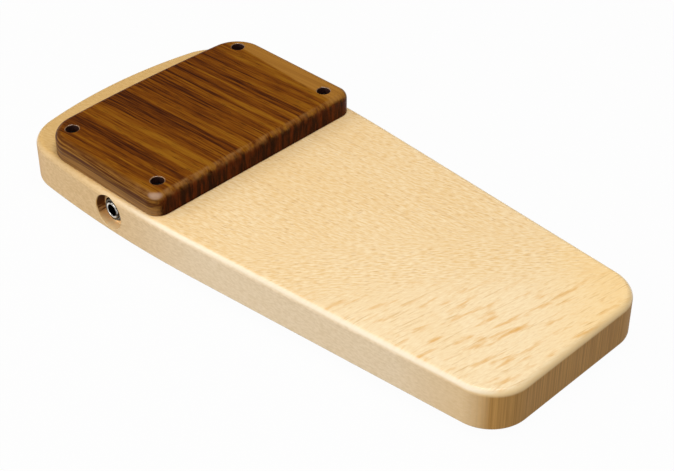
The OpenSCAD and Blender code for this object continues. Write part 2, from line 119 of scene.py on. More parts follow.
# Noise drawn out to a size in mm along X, Y and Z, with its X turned to a direction in the plan
def drawnOut(tree, place, size, detail=2.0, turn=0.0, roughness=0.5):
    at = put(tree, "Mapping", {"Vector": place, "Scale": size, "Rotation": (0, 0, math.radians(turn))},
             vector_type="TEXTURE")
    return put(tree, "TexNoise", {"Vector": at, "Scale": 1.0, "Detail": detail, "Roughness": roughness})


# Short spindles of a size in mm, laid along one direction in the plan, each with its own strength
def spindles(tree, place, size, turn=0.0, few=0.0, edge=(0.42, 0.12)):
    at = put(tree, "Mapping", {"Vector": place, "Scale": size, "Rotation": (0, 0, math.radians(turn))},
             vector_type="TEXTURE")
    cells = put(tree, "TexVoronoi", {"Vector": at, "Scale": 1.0})
    body = put(tree, "MapRange", (cells.outputs["Distance"], *edge), **smooth)
    own = put(tree, "SeparateColor", (cells.outputs["Color"],))
    shown = put(tree, "MapRange", (own, few, 1.0))
    return put(tree, "Math", (body, shown), operation="MULTIPLY")


# Beech, planed, sanded and lacquered satin: pale cream wood with a dense ripple of short rays,
# browner flecks among them, growth lines by the plate, amber patches at the front, and striped end grain.
# Sizes are in mm. A run, in mm, or a span, of noise or a normal, says where a mark starts and is full,
# and two more numbers are its shares there
beech = {
    "light": "#FFE8BE", "tan": "#EFC98E", "golden": "#EDC27E", "warm": "#FFD68E", "fleck": "#C58F52",
    "line": "#D3A463", "amber": "#E2A032", "thin": "#CC953E", "side": "#FDE6C4", "sideDark": "#F1D8B1",
    "back": "#E7C084", "backDark": "#D7AD6E", "strip": "#DAB271", "stripDark": "#CAA05D",
    "endPale": "#DBA75E", "endDark": "#BC8A4A", "paintedEdgeHighlight": "#FFF3DC", "paintedFrontLight": "#FFDDA4", "paintedUnderShade": "#7A5A34",
    "zoneSize": (50, 130, 50), "lineSize": (2.0, 95, 14), "stripeSize": (0.9, 40, 60),
    "sideSize": (2.0, 2.4, 1.0), "fleckSize": (4.6, 0.95, 1.6), "amberSize": (16, 3.2, 7),
    "thinSize": (18, 1.1, 5),
    "rippleSize": (3.8, 1.0, 2.4),  # real rays are near 0.3 mm wide; drawn wider so that they show
    # lengthwise rays near the plate, slanting ones in the middle and crosswise ones at the front
    "turns": (103, 137, 171), "slant": 0.8, "plateRun": (-72.0, -30.0), "frontRun": (-80.0, -125.0),
    "rippleSpan": (0.33, 0.67), "rippleFade": -0.55,
    "goldenSlant": -0.25, "goldenRun": (-140.0, 180.0, -0.6, 0.28), "lineSpan": (0.58, 0.78, 0.0, 0.3),
    "toCorner": (0.6, -0.8, 0.0), "cornerRun": (100.0, 155.0, 0.0, 0.6),
    "topSpan": (0.3, 0.95), "fleckFew": 0.4, "fleckShare": 0.52, "fleckFade": -0.34,
    "amberSpan": (0.54, 0.84), "thinSpan": (0.585, 0.9), "stripRun": (60.0, 140.0, 0.0, 0.75),
    "grainSpan": (0.35, 0.65), "backRun": (0.0, 95.0, 0.0, 0.8), "noseRun": (-105.0, -150.0, 0.0, 0.6),
    "sideSpan": (0.3, 0.95), "uprightSpan": (0.3, 0.0), "endSpan": (0.0, 0.42),
    "lowSpan": (-0.1, -0.7, 0.0, 0.6), "overUnderside": (4.02, 4.1),
    "halfway": 4.0, "frontLightSpan": (-0.1, -0.75, 0.0, 0.85),
    "edgeHighlightSpan": (0.26, 0.5, 0.0, 0.66), "edgeHighlightRun": (100.0, 20.0, 0.15, 1.0),
    "roughness": (0.12, 0.17), "endDull": 0.45, "sideDull": 0.25, "specular": 0.2,
    "bump": 0.1, "relief": 0.02,
}


def beechFinish():
    b = beech
    made, tree, shader, place = newFinish("lacqueredBeech", Specular_IOR_Level=b["specular"])
    x, y, z = put(tree, "SeparateXYZ", (place,)).outputs
    out, along, up = put(tree, "SeparateXYZ", (put(tree, "NewGeometry").outputs["Normal"],)).outputs
    # three parts of the board, by which way the rays lie there
    slanting = put(tree, "Math", (x, b["slant"], y), operation="MULTIPLY_ADD")
    byPlate = put(tree, "MapRange", (slanting, *b["plateRun"]), **smooth)
    inFront = put(tree, "MapRange", (slanting, *b["frontRun"]), **smooth)
    either = put(tree, "Math", (byPlate, inFront), operation="MAXIMUM")
    middle = put(tree, "Math", (1.0, either), operation="SUBTRACT")
    ripple, flecks = 0.0, 0.0
    for turn, part in zip(b["turns"], (byPlate, middle, inFront)):
        rays = drawnOut(tree, place, b["rippleSize"], detail=3.0, turn=turn)
        ripple = put(tree, "Math", (rays, part, ripple), operation="MULTIPLY_ADD")
        dashes = spindles(tree, place, b["fleckSize"], turn, b["fleckFew"])
        flecks = put(tree, "Math", (dashes, part, flecks), operation="MULTIPLY_ADD")
    ripple = put(tree, "MapRange", (ripple, *b["rippleSpan"]))
    softer = put(tree, "Math", (inFront, b["rippleFade"], 1.0), operation="MULTIPLY_ADD")
    softer = put(tree, "Math", (ripple, softer), operation="MULTIPLY")
    wood = put(tree, "Mix", (softer, b["light"], b["tan"]), **inColour)
    # broad zones, more golden towards the plate, where growth lines show
    zones = drawnOut(tree, place, b["zoneSize"])
    lean = put(tree, "Math", (x, b["goldenSlant"], y), operation="MULTIPLY_ADD")
    lean = put(tree, "MapRange", (lean, *b["goldenRun"]))
    golden = put(tree, "Math", (zones, lean), operation="ADD", use_clamp=True)
    wood = put(tree, "Mix", (golden, wood, b["golden"]), **inColour)
    lines = put(tree, "MapRange", (drawnOut(tree, place, b["lineSize"]), *b["lineSpan"]))
    lines = put(tree, "Math", (lines, byPlate), operation="MULTIPLY")
    wood = put(tree, "Mix", (lines, wood, b["line"]), **inColour)
    # and warm again at the right front corner
    corner = put(tree, "VectorMath", (place, b["toCorner"]), operation="DOT_PRODUCT")
    corner = put(tree, "MapRange", (corner, *b["cornerRun"]), **smooth)
    wood = put(tree, "Mix", (corner, wood, b["warm"]), **inColour)
    # flecks on the top, fewer in front, where amber patches and thin lines lie instead
    onTop = put(tree, "MapRange", (up, *b["topSpan"]))
    fewer = put(tree, "Math", (inFront, b["fleckFade"], b["fleckShare"]), operation="MULTIPLY_ADD")
    flecks = put(tree, "Math", (flecks, onTop), operation="MULTIPLY")
    flecks = put(tree, "Math", (flecks, fewer), operation="MULTIPLY")
    wood = put(tree, "Mix", (flecks, wood, b["fleck"]), **inColour)
    frontTop = put(tree, "Math", (inFront, onTop), operation="MULTIPLY")
    for mark in ("amber", "thin"):
        marks = drawnOut(tree, place, b[mark + "Size"], detail=3.0, turn=b["turns"][2])
        marks = put(tree, "MapRange", (marks, *b[mark + "Span"]))
        marks = put(tree, "Math", (marks, frontTop), operation="MULTIPLY")
        wood = put(tree, "Mix", (marks, wood, b[mark]), **inColour)
    # painted shade: the top is darker and tan behind the plate, where the plate shades it
    strip = put(tree, "Mix", (ripple, b["strip"], b["stripDark"]), **inColour)
    behind = put(tree, "MapRange", (y, *b["stripRun"]), **smooth)
    wood = put(tree, "Mix", (behind, wood, strip), **inColour)
    # long sides are quieter and greyer, darker and warmer towards the back and golden at the front
    grain = put(tree, "MapRange", (drawnOut(tree, place, b["sideSize"], detail=4.0), *b["grainSpan"]))
    quiet = put(tree, "Mix", (grain, b["side"], b["sideDark"]), **inColour)
    rearTone = put(tree, "Mix", (grain, b["back"], b["backDark"]), **inColour)
    backward = put(tree, "MapRange", (y, *b["backRun"]), **smooth)
    quiet = put(tree, "Mix", (backward, quiet, rearTone), **inColour)
    forward = put(tree, "MapRange", (y, *b["noseRun"]))
    quiet = put(tree, "Mix", (forward, quiet, b["golden"]), **inColour)
    sideways = put(tree, "Math", (out, out), operation="MULTIPLY")
    sideways = put(tree, "MapRange", (sideways, *b["sideSpan"]))
    wood = put(tree, "Mix", (sideways, wood, quiet), **inColour)
    # the two ends show striped end grain
    stripes = put(tree, "MapRange", (drawnOut(tree, place, b["stripeSize"], detail=3.0), *b["grainSpan"]))
    ends = put(tree, "Mix", (stripes, b["endPale"], b["endDark"]), **inColour)
    level = put(tree, "Math", (up, up), operation="MULTIPLY")
    upright = put(tree, "MapRange", (level, *b["uprightSpan"]), **smooth)
    endOn = put(tree, "Math", (put(tree, "Math", (out, along), operation="ARCTAN2"),), operation="COSINE")
    endOn = put(tree, "Math", (endOn, 2.0), operation="POWER")
    endMask = put(tree, "MapRange", (endOn, *b["endSpan"]))
    endMask = put(tree, "Math", (endMask, upright), operation="MULTIPLY")
    wood = put(tree, "Mix", (endMask, wood, ends), **inColour)
    # painted shade: the lower arris, turned down and away from the light, is darker
    underShade = put(tree, "MapRange", (up, *b["lowSpan"]))
    above = put(tree, "MapRange", (z, *b["overUnderside"]))
    underShade = put(tree, "Math", (underShade, above), operation="MULTIPLY")
    wood = put(tree, "Mix", (underShade, wood, b["paintedUnderShade"]), **inColour)
    # painted light: the round-over of the front end is lifted to warm pale wood, most where it leans half way
    leaning = put(tree, "Math", (up, -b["halfway"], b["halfway"]), operation="MULTIPLY_ADD")
    leaning = put(tree, "Math", (leaning, up), operation="MULTIPLY")
    leaning = put(tree, "Math", (leaning, along), operation="MULTIPLY")
    leaning = put(tree, "MapRange", (leaning, *b["frontLightSpan"]))
    wood = put(tree, "Mix", (leaning, wood, b["paintedFrontLight"]), **inColour)
    # painted highlight: the round-over along the flanks is paler, fading towards the back
    outward = put(tree, "Math", (out,), operation="ABSOLUTE")
    upward = put(tree, "Math", (up, 0.0), operation="MAXIMUM")
    paintedEdgeHighlight = put(tree, "Math", (outward, upward), operation="MULTIPLY")
    paintedEdgeHighlight = put(tree, "MapRange", (paintedEdgeHighlight, *b["edgeHighlightSpan"]), **smooth)
    fading = put(tree, "MapRange", (y, *b["edgeHighlightRun"]), **smooth)
    paintedEdgeHighlight = put(tree, "Math", (paintedEdgeHighlight, fading), operation="MULTIPLY")
    wood = put(tree, "Mix", (paintedEdgeHighlight, wood, b["paintedEdgeHighlight"]), **inColour)
    tree.links.new(wood.outputs["Result"], shader.inputs["Base Color"])
    # lacquer sinks a little into the rays, more into the long sides, and deep into the end grain
    dull = put(tree, "MapRange", (ripple, 0.0, 1.0, *b["roughness"]))
    dull = put(tree, "Math", (endMask, b["endDull"], dull), operation="MULTIPLY_ADD")
    steep = put(tree, "Math", (sideways, upright), operation="MULTIPLY")
    dull = put(tree, "Math", (steep, b["sideDull"], dull), operation="MULTIPLY_ADD")
    tree.links.new(dull.outputs[0], shader.inputs["Roughness"])
    sunk = {"Height": ripple, "Strength": b["bump"], "Distance": b["relief"] * mm}
    tree.links.new(put(tree, "Bump", sunk, invert=True).outputs[0], shader.inputs["Normal"])
    return made


# Black walnut, sanded and oiled: straight dark and golden streaks, open pores as fine dark dashes,
# and a band of plain orange-brown sapwood along the right end
walnut = {
    "heart": ((0.395, "#3A1705"), (0.61, "#8F5B10"), (0.45, "#5E2D04"), (0.51, "#774006")),
    "sap": ((0.36, "#946224"), (0.6, "#A4702C")), "flank": ((0.32, "#52290A"), (0.56, "#AA7630")),
    "ends": ((0.4, "#230600"), (0.66, "#642806")),
    "pore": "#2E1002", "flankPale": "#A88256", "paintedRimHighlight": "#A0713C", "paintedCornerGlint": "#CDAE98", "paintedRimShade": "#3A1705",
    "bandSize": (6, 400, 30), "streakSize": (1.3, 130, 4), "fineSize": (0.75, 20, 2.0),
    "poreSize": (0.8, 8.5, 0.8),  # real pores are near 0.2 mm wide; drawn wider so that they show
    "waveSize": (35, 80, 60), "flankSize": (5, 45, 1.1), "endSize": (2.2, 30, 14),
    "rimHighlightSize": (3.0, 4.0, 3.0),
    "noiseMean": (0.5, 0.5, 0.5), "wave": (1.5, 0, 2), "sawnFrom": (0, 0, 185), "turn": 2.5, "harsh": 0.6,
    "streakShare": 0.46, "fineShare": 0.3, "lean": 0.0003, "frontLean": -0.0006, "middle": 90,
    "sapEdge": (46.5, 47.9), "sapLean": -0.065, "sapRagged": -7.0, "poreShare": 0.7,
    "flankRise": (29.0, 34.5), "flankRun": (60.0, 120.0, 0.0, 0.5), "flankShift": -0.15,
    "lowSpan": (0.8, 0.0, 0.0, 0.55), "leftSpan": (-0.12, -0.65, 0.0, 0.9),
    "endUneven": -2.0, "endSpan": (-0.75, -0.25, 0.0, 0.95), "endFace": (0.3, 0.85),
    "roundSpan": (-0.05, 0.95), "flatSpan": (0.9, 0.99), "rimHighlightSpan": (0.3, 0.75),
    "leftRun": (60.0, -70.0, 0.4, 1.0), "frontRun": (64.0, 48.0, 0.1, 1.0),
    "corner": (-0.56, -0.5, 0.66), "cornerGlintSpan": (0.87, 1.0, 0.0, 0.5), "facingAwaySpan": (0.3, 0.8, 0.0, 0.7),
    "roughness": (0.35, 0.65, 0.38, 0.52), "specular": 0.05, "bump": 0.4, "relief": 0.06,
}


def walnutFinish():
    w = walnut
    made, tree, shader, place = newFinish("oiledWalnut", Specular_IOR_Level=w["specular"])
    normal = put(tree, "NewGeometry").outputs["Normal"]
    out, along, up = put(tree, "SeparateXYZ", (normal,)).outputs
    # the grain waves a little on its way along the plate
    wave = drawnOut(tree, place, w["waveSize"], detail=1.0).outputs["Color"]
    wave = put(tree, "VectorMath", (wave, w["noiseMean"]), operation="SUBTRACT")
    grain = put(tree, "VectorMath", (wave, w["wave"], place), operation="MULTIPLY_ADD")
    x, y, z = put(tree, "SeparateXYZ", (grain,)).outputs
    figure = put(tree, "VectorMath", (grain, w["sawnFrom"]), operation="ADD")
    bands = drawnOut(tree, figure, w["bandSize"], detail=1.0, turn=w["turn"])
    streaks = drawnOut(tree, figure, w["streakSize"], detail=4.0, turn=w["turn"], roughness=w["harsh"])
    fine = drawnOut(tree, figure, w["fineSize"], turn=w["turn"])
    both = put(tree, "Mix", (w["streakShare"], bands, streaks), data_type="FLOAT")
    both = put(tree, "Mix", (w["fineShare"], both, fine), data_type="FLOAT")
    # paler towards the sapwood and the front
    both = put(tree, "Math", (x, w["lean"], both), operation="MULTIPLY_ADD")
    fromMiddle = put(tree, "Math", (y, w["middle"]), operation="SUBTRACT")
    both = put(tree, "Math", (fromMiddle, w["frontLean"], both), operation="MULTIPLY_ADD")
    heart = put(tree, "ValToRGB", (both,), w["heart"])
    pores = spindles(tree, grain, w["poreSize"], w["turn"])
    shade = put(tree, "Math", (pores, w["poreShare"]), operation="MULTIPLY")
    heart = put(tree, "Mix", (shade, heart, w["pore"]), **inColour)
    ragged = put(tree, "Math", (y, w["sapLean"], x), operation="MULTIPLY_ADD")
    ragged = put(tree, "Math", (both, w["sapRagged"], ragged), operation="MULTIPLY_ADD")
    sapMask = put(tree, "MapRange", (ragged, *w["sapEdge"]), **smooth)
    sap = put(tree, "ValToRGB", (streaks,), w["sap"])
    wood = put(tree, "Mix", (sapMask, heart, sap), **inColour)
    # the left flank is cut along the grain, dark at the top and behind, paler low in front
    height = put(tree, "MapRange", (z, *w["flankRise"]))
    rearward = put(tree, "MapRange", (y, *w["flankRun"]))
    height = put(tree, "Math", (height, rearward), operation="MAXIMUM")
    flank = drawnOut(tree, grain, w["flankSize"], detail=4.0, roughness=w["harsh"])
    flank = put(tree, "Math", (height, w["flankShift"], flank), operation="MULTIPLY_ADD")
    flank = put(tree, "ValToRGB", (flank,), w["flank"])
    lowInFront = put(tree, "MapRange", (height, *w["lowSpan"]))
    flank = put(tree, "Mix", (lowInFront, flank, w["flankPale"]), **inColour)
    leftFace = put(tree, "MapRange", (out, *w["leftSpan"]))
    wood = put(tree, "Mix", (leftFace, wood, flank), **inColour)
    # end grain drinks more oil; each streak takes it up at its own height
    endways = put(tree, "Math", (along, along), operation="MULTIPLY")
    uneven = put(tree, "Math", (both, w["endUneven"], endways), operation="MULTIPLY_ADD")
    endMask = put(tree, "MapRange", (uneven, *w["endSpan"]), **smooth)
    endFace = put(tree, "MapRange", (endways, *w["endFace"]))
    endMask = put(tree, "Math", (endMask, endFace), operation="MULTIPLY")
    ends = drawnOut(tree, grain, w["endSize"], detail=4.0, roughness=w["harsh"])
    ends = put(tree, "ValToRGB", (ends,), w["ends"])
    wood = put(tree, "Mix", (endMask, wood, ends), **inColour)
    # painted highlight: the round-over is paler in spots, mostly in front and on the left
    rounded = put(tree, "MapRange", (up, *w["roundSpan"]), **smooth)
    flatTop = put(tree, "MapRange", (up, *w["flatSpan"]))
    paintedRimHighlight = put(tree, "Math", (rounded, flatTop), operation="SUBTRACT", use_clamp=True)
    spots = put(tree, "MapRange", (drawnOut(tree, place, w["rimHighlightSize"]), *w["rimHighlightSpan"]))
    leftward = put(tree, "MapRange", (x, *w["leftRun"]))
    frontward = put(tree, "MapRange", (y, *w["frontRun"]))
    for share in (spots, leftward, frontward):
        paintedRimHighlight = put(tree, "Math", (paintedRimHighlight, share), operation="MULTIPLY")
    wood = put(tree, "Mix", (paintedRimHighlight, wood, w["paintedRimHighlight"]), **inColour)
    # painted highlight: a glint on the left front corner, where it faces up, left and forward
    cornerGlint = put(tree, "VectorMath", (normal, w["corner"]), operation="DOT_PRODUCT")
    cornerGlint = put(tree, "MapRange", (cornerGlint, *w["cornerGlintSpan"]), **smooth)
    wood = put(tree, "Mix", (cornerGlint, wood, w["paintedCornerGlint"]), **inColour)
    # painted shade: the round-over at the right and the back, facing away from the light, is dark
    facingAway = put(tree, "Math", (out, along), operation="MAXIMUM")
    facingAway = put(tree, "MapRange", (facingAway, *w["facingAwaySpan"]))
    wood = put(tree, "Mix", (facingAway, wood, w["paintedRimShade"]), **inColour)
    tree.links.new(wood.outputs["Result"], shader.inputs["Base Color"])
    dull = put(tree, "MapRange", (streaks, *w["roughness"]))
    tree.links.new(dull.outputs[0], shader.inputs["Roughness"])
    sunk = {"Height": pores, "Strength": w["bump"], "Distance": w["relief"] * mm}
    tree.links.new(put(tree, "Bump", sunk, invert=True).outputs[0], shader.inputs["Normal"])
    return made


# The wall of the finger recess: dark overhead, a little from scorch by the bit and mostly painted shade; pale
# below and on its floor, where painted light lifts it
bored = {"tones": ((0.0, "#4E2204"), (1.0, "#FFE0AC"), (0.42, "#7C4610"), (0.7, "#FFCB86")),
         "streakSize": (6.0, 1.2, 1.2), "noiseMean": 0.5, "streakShare": 0.9, "floorLift": 0.75,
         "span": (-0.4, 1.0), "roughness": 0.55, "specular": 0.2}


def boredFinish():
    made, tree, shader, place = newFinish("boredBeechPaintedShade", Roughness=bored["roughness"],
                                          Specular_IOR_Level=bored["specular"])
    out, _, up = put(tree, "SeparateXYZ", (put(tree, "NewGeometry").outputs["Normal"],)).outputs
    inward = put(tree, "Math", (out, 2.0), operation="POWER")
    lift = put(tree, "Math", (inward, bored["floorLift"], up), operation="MULTIPLY_ADD")
    streaks = drawnOut(tree, place, bored["streakSize"], detail=3.0)
    streaks = put(tree, "Math", (streaks, bored["noiseMean"]), operation="SUBTRACT")
    lift = put(tree, "Math", (streaks, bored["streakShare"], lift), operation="MULTIPLY_ADD")
    lift = put(tree, "MapRange", (lift, *bored["span"]))
    tone = put(tree, "ValToRGB", (lift,), bored["tones"])
    tree.links.new(tone.outputs[0], shader.inputs["Base Color"])
    return made


# Finishes of two tones in patches: name, tones, patch size in mm, roughness, relief in mm, metallic
patchy = {
    # walls of a hole bored into walnut: end grain, dark with oil and darker still with painted shade
    "boredWalnutPaintedShade": ("boredWalnutPaintedShade", ("#260C05", "#3C170A"), (0.6, 0.6, 4.0), (0.5, 0.65), 0.0, 0.0),
    # the lip of such a hole, shiny, and pale as a painted highlight
    "lipPaintedHighlight": ("walnutLipPaintedHighlight", ("#6A4629", "#A98460"), (1.8, 1.8, 1.8), (0.1, 0.18), 0.0, 0.0),
    # black-oxide steel: a soft blue-black bloom with a dull gleam on the edges
    "black_steel": ("blackOxideSteel", ("#17171A", "#26262A"), (0.6, 0.6, 0.6), (0.32, 0.5), 0.01, 0.85),
    # zinc-plated steel: cool grey with a faint cloudy bloom
    "zinc_steel": ("zincPlatedSteel", ("#B9BDC2", "#CDD0D2"), (1.6, 1.6, 1.6), (0.24, 0.4), 0.0, 1.0),
    # moulded rubber: matt black with a fine grit from the mould
    "rubber": ("mouldedRubber", ("#151515", "#232323"), (0.35, 0.35, 0.35), (0.65, 0.85), 0.03, 0.0),
    # nickel-plated brass: bright and slightly warm, clouded darker in patches by handling
    "nickel": ("nickelPlatedBrass", ("#3C352C", "#F6F2EA"), (5.0, 3.2, 3.2), (0.08, 0.16), 0.0, 1.0),
    # the same plating, dulled, and darker as painted shade
    "dulledNickelPaintedShade": ("dulledNickelPaintedShade", ("#40392D", "#625A4A"), (0.8, 3.0, 3.0), (0.16, 0.3), 0.0, 1.0),
    # and inside the bore, nearly black as painted shade
    "nickelBorePaintedShade": ("nickelBorePaintedShade", ("#171512", "#27231F"), (2.0, 1.0, 1.0), (0.3, 0.45), 0.0, 1.0),
    # vulcanised fibre: pressed red-brown board with a mottled, felted face
    "fibre": ("vulcanisedFibre", ("#7A3B22", "#93502F"), (0.8, 0.8, 0.8), (0.6, 0.75), 0.02, 0.0),
    # rolled brass: warm yellow with faint rolling streaks
    "brass": ("rolledBrass", ("#C9A04E", "#DDB768"), (6.0, 0.5, 0.5), (0.22, 0.38), 0.0, 1.0),
    # silvered ceramic: a fired, grainy silver print, matt grey-white
    "silvered_ceramic": ("silveredCeramic", ("#C4C3BE", "#DAD9D5"), (0.4, 0.4, 0.4), (0.42, 0.6), 0.01, 0.7),
    # acrylic foam tape: milky white and slightly uneven
    "adhesive_foam": ("acrylicFoamTape", ("#E6E4DC", "#F2F0EA"), (0.7, 0.7, 0.7), (0.5, 0.7), 0.03, 0.0),
    # open-cell foam: charcoal, full of small pores
    "backing_foam": ("openCellFoam", ("#2B2D30", "#484B4F"), (0.5, 0.5, 0.5), (0.85, 0.95), 0.2, 0.0),
    # extruded PVC: even colour with a faint drag along the wire
    "red_wire": ("redPvc", ("#A31B17", "#BC2A22"), (9.0, 0.4, 0.4), (0.35, 0.5), 0.005, 0.0),
    "black_wire": ("blackPvc", ("#141416", "#212124"), (9.0, 0.4, 0.4), (0.35, 0.5), 0.005, 0.0),
    # tin solder: bright, with a frosty skin where it froze
    "solder": ("tinSolder", ("#B4B6B8", "#CFD0D2"), (0.6, 0.6, 0.6), (0.18, 0.36), 0.02, 1.0),
}
patchSpan = (0.3, 0.7)
patchBump = 0.5


def patchyFinish(name, tones, patch, roughness, relief, metallic):
    made, tree, shader, place = newFinish(name, Metallic=metallic)
    cloud = drawnOut(tree, place, patch, detail=4.0)
    tone = put(tree, "Mix", (put(tree, "MapRange", (cloud, *patchSpan)), *tones), **inColour)
    tree.links.new(tone.outputs["Result"], shader.inputs["Base Color"])
    dull = put(tree, "MapRange", (cloud, *patchSpan, *roughness))
    tree.links.new(dull.outputs[0], shader.inputs["Roughness"])
    if relief:
        raised = put(tree, "Bump", {"Height": cloud, "Strength": patchBump, "Distance": relief * mm})
        tree.links.new(raised.outputs[0], shader.inputs["Normal"])
    return made


finishes = {"beech": beechFinish(), "walnut": walnutFinish(), "boredBeechPaintedShade": boredFinish()}
for slot, values in patchy.items():
    finishes[slot] = patchyFinish(*values)
print("finishes made:", len(finishes))


# Faces over a row of rings with as many points each: closed on itself, or capped at both ends
def lofted(rings, closed=False):
    count, rows = len(rings[0]), len(rings)
    faces = []
    for i in range(rows if closed else rows - 1):
        j = (i + 1) % rows
        faces += [[i * count + k, i * count + (k + 1) % count, j * count + (k + 1) % count, j * count + k]
                  for k in range(count)]
    if not closed:
        faces += [list(range(count))[::-1], list(range((rows - 1) * count, rows * count))]
    return [p for ring in rings for p in ring], faces


# A turned form round Z from (radius, height) points; shaped bends one point by its place on the turn
def turned(profile, steps=64, closed=False, shaped=None):
    rings = []
    for point in profile:
        ring = []
        for k in range(steps):
            r, h = shaped(*point, k / steps) if shaped else point
            a = 2 * math.pi * k / steps
            ring.append((r * math.cos(a), r * math.sin(a), h))
        rings.append(ring)
    return lofted(rings, closed)


def rod(r, low, high, steps):
    return turned([(r, low), (r, high)], steps)


def post(outline, low, high):
    return lofted([[(x, y, z) for x, y in outline] for z in (low, high)])


def rectangle(x0, y0, x1, y1):
    return [(x0, y0), (x1, y0), (x1, y1), (x0, y1)]


# The angles of a quarter turn in a number of steps
def quarter(steps):
    return [math.pi / 2 * k / steps for k in range(steps + 1)]


# Corners (x, y, radius) of a run, each rounded by its own radius
def eased(corners, steps=4, closed=True):
    points = []
    for i, (x, y, r) in enumerate(corners):
        if r == 0 or (not closed and i in (0, len(corners) - 1)):
            points.append((x, y))
            continue
        here = Vector((x, y))
        back = (Vector(corners[i - 1][:2]) - here).normalized()
        ahead = (Vector(corners[(i + 1) % len(corners)][:2]) - here).normalized()
        half = back.angle(ahead) / 2
        middle = here + (back + ahead).normalized() * r / math.sin(half)
        start = here + back * r / math.tan(half) - middle
        end = here + ahead * r / math.tan(half) - middle
        for k in range(steps + 1):
            points.append(tuple(middle + start.lerp(end, k / steps).normalized() * r))
    return points


# A flat ring with eased edges, most at its outer edge below
def flatRing(hole, r, low, high, edge, steps):
    corners = [(hole, low, 0.08), (r, low, edge), (r, high, 0.08), (hole, high, 0.05)]
    return turned(eased(corners), steps, True)


# One object from forms in mm, each put in its places
def piece(name, *forms):
    verts, faces = [], []
    for (points, sides), places in forms:
        for place in places:
            faces += [[len(verts) + k for k in side] for side in sides]
            verts += [place @ Vector(p) * mm for p in points]
    shape = bpy.data.meshes.new(name)
    shape.from_pydata(verts, [], faces)
    work = bmesh.new()
    work.from_mesh(shape)
    bmesh.ops.recalc_face_normals(work, faces=work.faces)
    work.to_mesh(shape)
    work.free()
    made = bpy.data.objects.new(name, shape)
    bpy.context.scene.collection.objects.link(made)
    return made


def carve(made, cutters):
    for cutter in cutters:
        change = made.modifiers.new("carve", "BOOLEAN")
        change.operation, change.solver, change.object = "DIFFERENCE", "EXACT", cutter
    shaped = made.evaluated_get(bpy.context.evaluated_depsgraph_get())
    shape = bpy.data.meshes.new_from_object(shaped)
    made.modifiers.clear()
    made.data = shape
    for cutter in cutters:
        bpy.data.objects.remove(cutter)


# Smooth shading with crisp corners, then the body, the node and the finish that a piece takes
def dress(made, node, slot, body="box", crisp=35, inner=(), finish=None):
    for face in made.data.polygons:
        face.use_smooth = True
    made.data.set_sharp_from_angle(angle=math.radians(crisp))
    flat = made.modifiers.new("flatFaces", "WEIGHTED_NORMAL")
    flat.keep_sharp = True
    made.data.materials.clear()
    made.data.materials.append(finishes[finish or slot])
    for second, within in inner:
        made.data.materials.append(finishes[second])
        for face in made.data.polygons:
            if within(face.center / mm):
                face.material_index = len(made.data.materials) - 1
    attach(made, body)
    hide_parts(node)


def shift(x, y, z):
    return Matrix.Translation((x, y, z))


def standing(spots, z=0):
    return [shift(x, y, z) for x, y in spots]


def direction(v):
    return math.atan2(v.y, v.x)


# Points along an arc in a number of steps; one that carries on leaves out its first point
def arc(centre, r, start, end, count, carriesOn=False):
    return [centre + r * Vector((math.cos(a), math.sin(a)))
            for a in (start + (end - start) * k / count for k in range(1 if carriesOn else 0, count + 1))]


# A right half, from the middle of the front to the middle of the back, and its mirror
def bothHalves(half):
    return half + [Vector((-p.x, p.y)) for p in half[-2:0:-1]]


# Rings of a slab with a rounded top edge and an eased bottom edge
def slab(outline, low, high, lowRound, highRound, steps=10):
    turns = quarter(steps)
    levels = [(lowRound * (1 - math.cos(a)), low + lowRound * (1 - math.sin(a))) for a in turns[::-1]]
    levels += [(highRound * (1 - math.cos(a)), high - highRound * (1 - math.sin(a))) for a in turns]
    return lofted([[(p.x, p.y, z) for p in outline(inset)] for inset, z in levels])


# Where the jack sits: its axis on the chamber's outer wall, turned so that heights run into the board
jackSpot = {"wall": -63.547, "y": 79.0, "z": 15.5, "side": -73.247}
intoBoard = Matrix.Rotation(math.pi / 2, 4, "Y")
jackAxis = shift(jackSpot["wall"], jackSpot["y"], jackSpot["z"]) @ intoBoard


def fromJack(at):
    return math.hypot(at.y - jackSpot["y"], at.z - jackSpot["z"])


plateShape = {"width": 140, "front": 44.0, "back": 136.5, "low": 26.5, "high": 39.5, "frontCorner": 8,
              "backCorner": 18, "backBow": 1000, "topRound": 4.5, "bottomEase": 0.5, "screwInset": 11.25,
              "seat": 34.3, "shankHole": 1.95, "boreRadius": 3.5, "mouth": 0.65, "hair": 0.01, "clear": 1,
              "lipReach": 0.7, "lipTop": 0.05, "boreReach": 0.3, "boreTop": 0.4}
bowCentre = Vector((0, plateShape["back"] - plateShape["backBow"]))
sideBack = bowCentre.y + math.sqrt(plateShape["backBow"] ** 2 - (plateShape["width"] / 2) ** 2)
screwX = plateShape["width"] / 2 - plateShape["screwInset"]
screwSpots = [(x, y) for x in (-screwX, screwX)
              for y in (plateShape["front"] + plateShape["screwInset"], sideBack - plateShape["screwInset"])]

footSpots = [(-38, -134.5), (38, -134.5), (-42, 137.5), (42, 137.5)]

